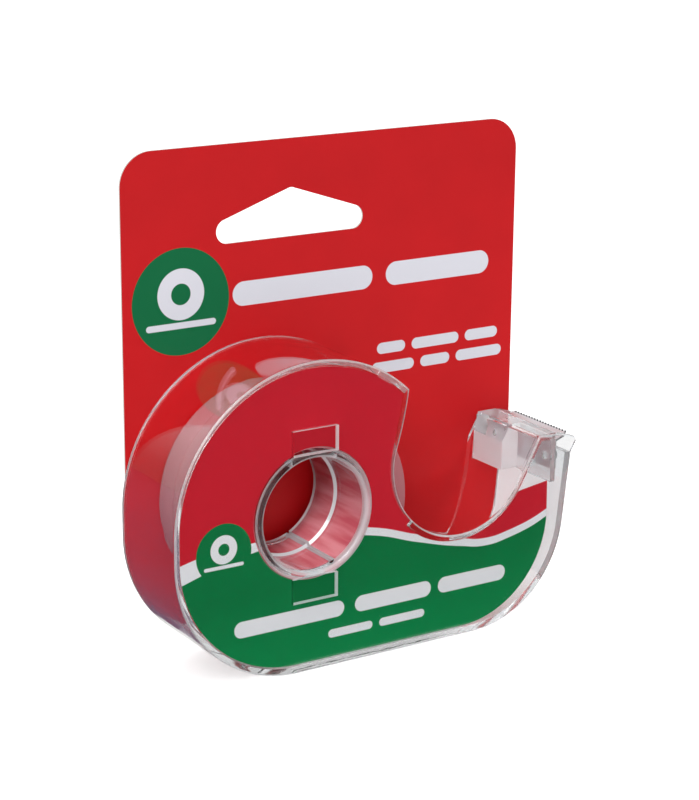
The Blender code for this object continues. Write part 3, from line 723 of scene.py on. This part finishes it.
# Two whitish finishes that are painted glow: cloudy and rough, they make the cut sides, steps and
# edges shine white, standing in for light piped along the clear walls.
glow_finishes = []
for name, clearness, fine, coarse in (("frosted_walls", 0.22, 0.25, 0.55),
                                      ("milky_edges", 0.75, 0.30, 0.42)):
    glow_finish, start, shader = clear_finish(name, (0.94, 0.98, 1.0), 1.5)
    shader.inputs["Transmission Weight"].default_value = clearness
    shader.inputs["Coat Weight"].default_value = 1.0
    place, _ = hub_millimetres(start)
    grain = start.node("TexNoise", sockets={"Vector": place, "Scale": 1.5, "Detail": 3.0})
    feed(start, shader, "Roughness", fine + grain * (coarse - fine))
    glow_finishes.append(glow_finish)


def give_finishes(piece, chosen):
    """Clear finish or a whitish painted-glow finish for each face, by its centre and normal."""
    for made in (shell_finish, *glow_finishes):
        piece.data.materials.append(made)
    for face in piece.data.polygons:
        spot = (face.center - Vector((HUB_X, FRONT_Y, HUB_Z))) / MM
        face.material_index = chosen(spot, face.normal)


def shell_faces(spot, normal):
    """Painted-glow finish 1 for windows, slots, the hub's step and end, and the block; 2 for root and
    edges.
    """
    reach = math.hypot(spot.x, spot.z)
    side_on = abs(normal.y) < 0.2
    across_window = abs(spot.x) < WINDOW_HALF + 0.1 and spot.y < WALL
    window_side = across_window and HUB_OUTER - 0.5 < abs(spot.z) < WINDOW_REACH + 0.1
    in_slot = abs(abs(spot.x) - FINGER_HALF - SLIT) < 0.05 and reach < HUB_OUTER + 0.1
    root = WALL < spot.y < WALL + HUB_FILLET and HUB_OUTER < reach < HUB_OUTER + HUB_FILLET
    step = HUB_STEP_DEPTH - 0.6 < spot.y < HUB_STEP_DEPTH + 0.05 and reach < HUB_BORE
    end = abs(spot.y - HUB_END) < 0.05 and reach < HUB_OUTER
    in_head = BLOCK_INNER - 0.1 < spot.x < WEB[1] + 0.1 and -3.0 < spot.z < 6.0
    in_block = in_head and BLOCK_FRONT - 0.1 < spot.y < 20.0
    if root:
        return 2
    if step or end or (side_on and in_slot) or (side_on and window_side and normal.x < 0.9):
        return 1
    rounded = spot.y < HUB_ROUND and -0.99 < normal.y < -0.05
    if in_block and normal.x < 0.5:
        return 1
    slanted = -0.9 < normal.x < -0.3 and 0.3 < normal.y < 0.9
    if slanted and spot.y > GAP_LIP and spot.x > GAP_SLANT_START - 0.9:
        return 2
    arm_back = spot.x > 55.0 and spot.z < ARM_TOP[1] and spot.y > WALL and normal.x > 0.5
    return 2 if rounded or arm_back or spot.y > SHELL_DEPTH - 0.25 else 0


give_finishes(shell, shell_faces)
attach(shell, "shell")
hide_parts("dispenser_shell")


# ------------------------------------------------------------------ spring fingers of the hub
# Two arms of the same moulding, cut free by slots.  Each ends in a low bump that presses on the
# core and keeps the roll from running on.

BUMP_RADIUS = 12.4
BUMP_START = HUB_END - 1.6
FINGER_ROOT = SLOT_DEPTH + 0.3


def finger_faces(spot, normal):
    """Whitish painted-glow finish for a finger's two cut sides, its step and its end; clear for the
    rest.
    """
    cut_side = abs(normal.x) > 0.9 and abs(spot.x) > FINGER_HALF - 0.05
    step = HUB_STEP_DEPTH - 0.6 < spot.y < HUB_STEP_DEPTH + 0.05
    return 1 if cut_side or step or spot.y > HUB_END - 0.05 else 0


for name, side in (("hub_finger_upper", 1.0), ("hub_finger_lower", -1.0)):
    finger = turned("clear_" + name, [
        (HUB_OUTER, FINGER_ROOT), (HUB_OUTER, BUMP_START), (BUMP_RADIUS, BUMP_START + 0.8),
        (BUMP_RADIUS, HUB_END), (HUB_STEP, HUB_END), (HUB_STEP, HUB_STEP_DEPTH),
        (HUB_BORE, HUB_STEP_DEPTH - 0.5), (HUB_BORE, FINGER_ROOT)])
    keep = slab("keep", [(-FINGER_HALF, side * 5.0), (FINGER_HALF, side * 5.0),
                         (FINGER_HALF, side * 14.0), (-FINGER_HALF, side * 14.0)], 0.0, 20.0)
    combine(finger, keep, "INTERSECT")
    smooth(finger)
    give_finishes(finger, finger_faces)
    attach(finger, "upper_finger" if side > 0.0 else "lower_finger")
    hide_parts(name)


# ------------------------------------------------------------------ cutter
# Strip of stainless spring steel, 0.4 mm, bent at its top and ground to teeth.  Two moulded
# posts pass through it and are flattened hot over it.

cutter_finish, start, shader = finish("ground_steel", {"Metallic": 1.0, "Anisotropic": 0.4})
place, (u, _, _) = hub_millimetres(start)
grain = start.node("TexNoise", sockets={
    "Vector": start.node("VectorMath", {"operation": "MULTIPLY"}, {0: place, 1: (0.6, 9.0, 0.6)}),
    "Scale": 1.0, "Detail": 4.0})
steel = tinted(start, grain, (0.72, 0.72, 0.74, 1.0), (0.88, 0.88, 0.90, 1.0))
# Painted shade: the toothed edge is painted near black, though ground steel is bright there.
teeth = start.node("MapRange", sockets={"Value": u, "From Min": 60.7, "From Max": 60.9})
feed(start, shader, "Base Color", tinted(start, teeth, steel, (0.09, 0.09, 0.10, 1.0)))
feed(start, shader, "Roughness", 0.38 + grain * 0.2)
feed(start, shader, "Normal", start.node(
    "Bump", sockets={"Strength": 0.15, "Distance": 0.00003, "Height": grain}))
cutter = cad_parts["cutter_blade"]
cutter.data.materials.clear()
cutter.data.materials.append(cutter_finish)


# ------------------------------------------------------------------ core
# Ring wound from strips of board, seen through the clear hub.  Its pink is painted red light from
# the card; its bore is painted redder still, with painted streaks of light.  It turns on the hub,
# where the two fingers press on it.

core_low, core_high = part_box("tape_core")
CORE_OUTER = (core_high.x - core_low.x) / 2.0 / MM
CORE_INNER = 12.7
CORE_FRONT = (core_low.y - FRONT_Y) / MM
CORE_REAR = (core_high.y - FRONT_Y) / MM
core = turned("board_core", [
    (CORE_OUTER, CORE_FRONT + 0.15), (CORE_OUTER, CORE_REAR - 0.15),
    (CORE_OUTER - 0.15, CORE_REAR), (CORE_INNER + 0.15, CORE_REAR),
    (CORE_INNER, CORE_REAR - 0.15), (CORE_INNER, CORE_FRONT + 0.15),
    (CORE_INNER + 0.15, CORE_FRONT), (CORE_OUTER - 0.15, CORE_FRONT)])
smooth(core)
core_finish, start, shader = finish("wound_board", {"IOR": 1.4})
place, (u, _, w) = hub_millimetres(start)
fibre = start.node("TexNoise", sockets={"Vector": place, "Scale": 1.8, "Detail": 4.0})
# Painted light: the board's grain is tinted pink for the card's red light that falls on it.
outside = tinted(start, fibre, (0.50, 0.26, 0.27, 1.0), (0.64, 0.34, 0.35, 1.0))
# Painted light: in the bore the colour is redder, with bright streaks along the depth.
painted_streaks = start.node("TexNoise", sockets={
    "Vector": start.node("VectorMath", {"operation": "MULTIPLY"}, {0: place, 1: (1.0, 0.12, 1.0)}),
    "Scale": 0.45, "Detail": 2.0})
painted_streaks = start.node("MapRange", sockets={"Value": painted_streaks, "From Min": 0.35, "From Max": 0.65})
inside = tinted(start, painted_streaks, (0.70, 0.12, 0.16, 1.0), (0.92, 0.36, 0.40, 1.0))
painted_bore_share = (13.0 - (u * u + w * w).math("SQRT")).math("MULTIPLY", 8.0, clamp=True)
feed(start, shader, "Base Color", tinted(start, painted_bore_share, outside, inside))
feed(start, shader, "Roughness", 0.6 + fibre * 0.2)
feed(start, shader, "Normal", start.node(
    "Bump", sockets={"Strength": 0.2, "Distance": 0.00005, "Height": fibre}))
core.data.materials.append(core_finish)
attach(core, "roll")
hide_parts("tape_core")


# ------------------------------------------------------------------ wound tape
# Clear polypropylene tape, 19 mm wide, wound tight on the core.  Its sides show the turns as
# fine rings.  Its pink tint, stronger on its sides, is painted red light from the card behind it.
# The adhesive holds it to the core.

ROLL_RADIUS = (roll_high.x - roll_low.x) / 2.0 / MM
roll = turned("wound_tape", [
    (ROLL_RADIUS, CORE_FRONT + 0.1), (ROLL_RADIUS, CORE_REAR - 0.1),
    (ROLL_RADIUS - 0.1, CORE_REAR), (CORE_OUTER - 0.1, CORE_REAR),
    (CORE_OUTER - 0.1, CORE_FRONT), (ROLL_RADIUS - 0.1, CORE_FRONT)])
smooth(roll)
# Painted light: both finishes are tinted pink, the sides more, for the card's red seen through the
# roll.
for name, colour, clearness in (("clear_tape", (0.94, 0.72, 0.75), 0.82),
                                ("tape_sides", (0.94, 0.40, 0.44), 0.65)):
    roll_finish, start, shader = clear_finish(name, colour, 1.47)
    shader.inputs["Transmission Weight"].default_value = clearness
    _, (u, _, w) = hub_millimetres(start)
    reach = (u * u + w * w).math("SQRT")
    turns = start.node("TexNoise", {"noise_dimensions": "1D"}, {
        "W": reach * 6.0, "Scale": 1.0, "Detail": 4.0})
    feed(start, shader, "Roughness", 0.02 + turns * 0.10)
    feed(start, shader, "Normal", start.node(
        "Bump", sockets={"Strength": 0.25, "Distance": 0.00005, "Height": turns}))
    roll.data.materials.append(roll_finish)
for face in roll.data.polygons:
    face.material_index = int(abs(face.normal.y) > 0.5)
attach(roll, "roll")
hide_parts("tape_roll")
